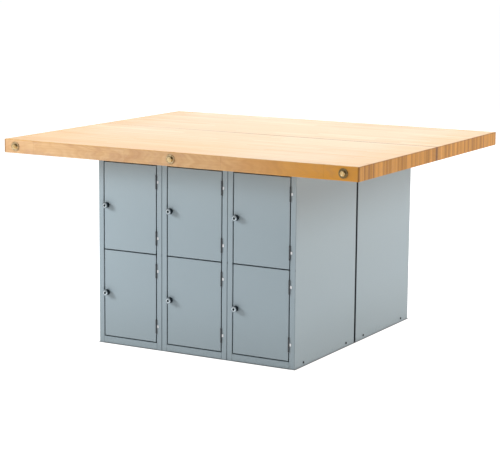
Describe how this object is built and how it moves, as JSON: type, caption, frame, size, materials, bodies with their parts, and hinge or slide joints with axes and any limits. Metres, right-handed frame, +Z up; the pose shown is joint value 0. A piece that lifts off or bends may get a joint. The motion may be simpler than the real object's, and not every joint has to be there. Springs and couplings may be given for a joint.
{
  "type": "workbench with lockers",
  "caption": "Laminated wood worktop in two bolted slabs on back-to-back steel locker cabinets, with hinged doors and turning keyed latches.",
  "frame": {"origin": "on the floor under the middle of the worktop", "axes": "+X to the right along the front, +Y to the rear, +Z up"},
  "size_m": [1.6256, 1.3916, 0.8446],
  "materials": {
    "maple_top": "clear lacquered laminated hardwood",
    "locker_paint": "grey baked enamel on sheet steel",
    "yellow_zinc": "yellow passivated zinc plate",
    "zinc_steel": "bright zinc plate",
    "dark_bolts": "black oxide",
    "hinge_steel": "dark dull plated steel",
    "latch_chrome": "satin nickel plate",
    "bumper_rubber": "matt moulded rubber"
  },
  "bodies": {
    "bench": {"front_top_slab": "maple_top", "rear_top_slab": "maple_top", "tie_rods": "yellow_zinc", "tie_rod_washers": "yellow_zinc", "tie_rod_nuts": "yellow_zinc", "top_screws": "zinc_steel", "foot_bolts": "dark_bolts", "foot_nuts": "zinc_steel", "door_bumpers": "bumper_rubber", "jamb_hinge_leaves": "hinge_steel", "hinge_pins": "hinge_steel", "front_side_panels": "locker_paint", "front_back_panels": "locker_paint", "front_rails": "locker_paint", "front_floor_pans": "locker_paint", "front_shelves": "locker_paint", "front_top_pans": "locker_paint", "rear_side_panels": "locker_paint", "rear_back_panels": "locker_paint", "rear_rails": "locker_paint", "rear_floor_pans": "locker_paint", "rear_shelves": "locker_paint", "rear_top_pans": "locker_paint"},
    "front_upper_left_door": {"front_upper_left_door": "locker_paint", "front_upper_left_door_fittings": "hinge_steel"},
    "front_upper_left_latch": {"front_upper_left_latch": "latch_chrome"},
    "front_upper_middle_door": {"front_upper_middle_door": "locker_paint", "front_upper_middle_door_fittings": "hinge_steel"},
    "front_upper_middle_latch": {"front_upper_middle_latch": "latch_chrome"},
    "front_upper_right_door": {"front_upper_right_door": "locker_paint", "front_upper_right_door_fittings": "hinge_steel"},
    "front_upper_right_latch": {"front_upper_right_latch": "latch_chrome"},
    "front_lower_left_door": {"front_lower_left_door": "locker_paint", "front_lower_left_door_fittings": "hinge_steel"},
    "front_lower_left_latch": {"front_lower_left_latch": "latch_chrome"},
    "front_lower_middle_door": {"front_lower_middle_door": "locker_paint", "front_lower_middle_door_fittings": "hinge_steel"},
    "front_lower_middle_latch": {"front_lower_middle_latch": "latch_chrome"},
    "front_lower_right_door": {"front_lower_right_door": "locker_paint", "front_lower_right_door_fittings": "hinge_steel"},
    "front_lower_right_latch": {"front_lower_right_latch": "latch_chrome"},
    "rear_upper_left_door": {"rear_upper_left_door": "locker_paint", "rear_upper_left_door_fittings": "hinge_steel"},
    "rear_upper_left_latch": {"rear_upper_left_latch": "latch_chrome"},
    "rear_upper_middle_door": {"rear_upper_middle_door": "locker_paint", "rear_upper_middle_door_fittings": "hinge_steel"},
    "rear_upper_middle_latch": {"rear_upper_middle_latch": "latch_chrome"},
    "rear_upper_right_door": {"rear_upper_right_door": "locker_paint", "rear_upper_right_door_fittings": "hinge_steel"},
    "rear_upper_right_latch": {"rear_upper_right_latch": "latch_chrome"},
    "rear_lower_left_door": {"rear_lower_left_door": "locker_paint", "rear_lower_left_door_fittings": "hinge_steel"},
    "rear_lower_left_latch": {"rear_lower_left_latch": "latch_chrome"},
    "rear_lower_middle_door": {"rear_lower_middle_door": "locker_paint", "rear_lower_middle_door_fittings": "hinge_steel"},
    "rear_lower_middle_latch": {"rear_lower_middle_latch": "latch_chrome"},
    "rear_lower_right_door": {"rear_lower_right_door": "locker_paint", "rear_lower_right_door_fittings": "hinge_steel"},
    "rear_lower_right_latch": {"rear_lower_right_latch": "latch_chrome"}
  },
  "joints": [
    {"name": "front_upper_left_door_hinge", "type": "hinge", "parent": "bench", "child": "front_upper_left_door", "pos_m": [-0.1628, -0.54075, 0.58005], "axis": [0, 0, 1], "range_deg": [0, 110]},
    {"name": "front_upper_left_latch_turn", "type": "hinge", "parent": "front_upper_left_door", "child": "front_upper_left_latch", "pos_m": [-0.4028, -0.53975, 0.58255], "axis": [0, 1, 0], "range_deg": [0, 90]},
    {"name": "front_upper_middle_door_hinge", "type": "hinge", "parent": "bench", "child": "front_upper_middle_door", "pos_m": [0.1442, -0.54075, 0.58005], "axis": [0, 0, 1], "range_deg": [0, 110]},
    {"name": "front_upper_middle_latch_turn", "type": "hinge", "parent": "front_upper_middle_door", "child": "front_upper_middle_latch", "pos_m": [-0.0958, -0.53975, 0.58255], "axis": [0, 1, 0], "range_deg": [0, 90]},
    {"name": "front_upper_right_door_hinge", "type": "hinge", "parent": "bench", "child": "front_upper_right_door", "pos_m": [0.4512, -0.54075, 0.58005], "axis": [0, 0, 1], "range_deg": [0, 110]},
    {"name": "front_upper_right_latch_turn", "type": "hinge", "parent": "front_upper_right_door", "child": "front_upper_right_latch", "pos_m": [0.2112, -0.53975, 0.58255], "axis": [0, 1, 0], "range_deg": [0, 90]},
    {"name": "front_lower_left_door_hinge", "type": "hinge", "parent": "bench", "child": "front_lower_left_door", "pos_m": [-0.1628, -0.54075, 0.21375], "axis": [0, 0, 1], "range_deg": [0, 110]},
    {"name": "front_lower_left_latch_turn", "type": "hinge", "parent": "front_lower_left_door", "child": "front_lower_left_latch", "pos_m": [-0.4028, -0.53975, 0.21625], "axis": [0, 1, 0], "range_deg": [0, 90]},
    {"name": "front_lower_middle_door_hinge", "type": "hinge", "parent": "bench", "child": "front_lower_middle_door", "pos_m": [0.1442, -0.54075, 0.21375], "axis": [0, 0, 1], "range_deg": [0, 110]},
    {"name": "front_lower_middle_latch_turn", "type": "hinge", "parent": "front_lower_middle_door", "child": "front_lower_middle_latch", "pos_m": [-0.0958, -0.53975, 0.21625], "axis": [0, 1, 0], "range_deg": [0, 90]},
    {"name": "front_lower_right_door_hinge", "type": "hinge", "parent": "bench", "child": "front_lower_right_door", "pos_m": [0.4512, -0.54075, 0.21375], "axis": [0, 0, 1], "range_deg": [0, 110]},
    {"name": "front_lower_right_latch_turn", "type": "hinge", "parent": "front_lower_right_door", "child": "front_lower_right_latch", "pos_m": [0.2112, -0.53975, 0.21625], "axis": [0, 1, 0], "range_deg": [0, 90]},
    {"name": "rear_upper_left_door_hinge", "type": "hinge", "parent": "bench", "child": "rear_upper_left_door", "pos_m": [0.1968, 0.54075, 0.58005], "axis": [0, 0, 1], "range_deg": [0, 110]},
    {"name": "rear_upper_left_latch_turn", "type": "hinge", "parent": "rear_upper_left_door", "child": "rear_upper_left_latch", "pos_m": [0.4368, 0.53975, 0.58255], "axis": [0, -1, 0], "range_deg": [0, 90]},
    {"name": "rear_upper_middle_door_hinge", "type": "hinge", "parent": "bench", "child": "rear_upper_middle_door", "pos_m": [-0.1102, 0.54075, 0.58005], "axis": [0, 0, 1], "range_deg": [0, 110]},
    {"name": "rear_upper_middle_latch_turn", "type": "hinge", "parent": "rear_upper_middle_door", "child": "rear_upper_middle_latch", "pos_m": [0.1298, 0.53975, 0.58255], "axis": [0, -1, 0], "range_deg": [0, 90]},
    {"name": "rear_upper_right_door_hinge", "type": "hinge", "parent": "bench", "child": "rear_upper_right_door", "pos_m": [-0.4172, 0.54075, 0.58005], "axis": [0, 0, 1], "range_deg": [0, 110]},
    {"name": "rear_upper_right_latch_turn", "type": "hinge", "parent": "rear_upper_right_door", "child": "rear_upper_right_latch", "pos_m": [-0.1772, 0.53975, 0.58255], "axis": [0, -1, 0], "range_deg": [0, 90]},
    {"name": "rear_lower_left_door_hinge", "type": "hinge", "parent": "bench", "child": "rear_lower_left_door", "pos_m": [0.1968, 0.54075, 0.21375], "axis": [0, 0, 1], "range_deg": [0, 110]},
    {"name": "rear_lower_left_latch_turn", "type": "hinge", "parent": "rear_lower_left_door", "child": "rear_lower_left_latch", "pos_m": [0.4368, 0.53975, 0.21625], "axis": [0, -1, 0], "range_deg": [0, 90]},
    {"name": "rear_lower_middle_door_hinge", "type": "hinge", "parent": "bench", "child": "rear_lower_middle_door", "pos_m": [-0.1102, 0.54075, 0.21375], "axis": [0, 0, 1], "range_deg": [0, 110]},
    {"name": "rear_lower_middle_latch_turn", "type": "hinge", "parent": "rear_lower_middle_door", "child": "rear_lower_middle_latch", "pos_m": [0.1298, 0.53975, 0.21625], "axis": [0, -1, 0], "range_deg": [0, 90]},
    {"name": "rear_lower_right_door_hinge", "type": "hinge", "parent": "bench", "child": "rear_lower_right_door", "pos_m": [-0.4172, 0.54075, 0.21375], "axis": [0, 0, 1], "range_deg": [0, 110]},
    {"name": "rear_lower_right_latch_turn", "type": "hinge", "parent": "rear_lower_right_door", "child": "rear_lower_right_latch", "pos_m": [-0.1772, 0.53975, 0.21625], "axis": [0, -1, 0], "range_deg": [0, 90]}
  ]
}
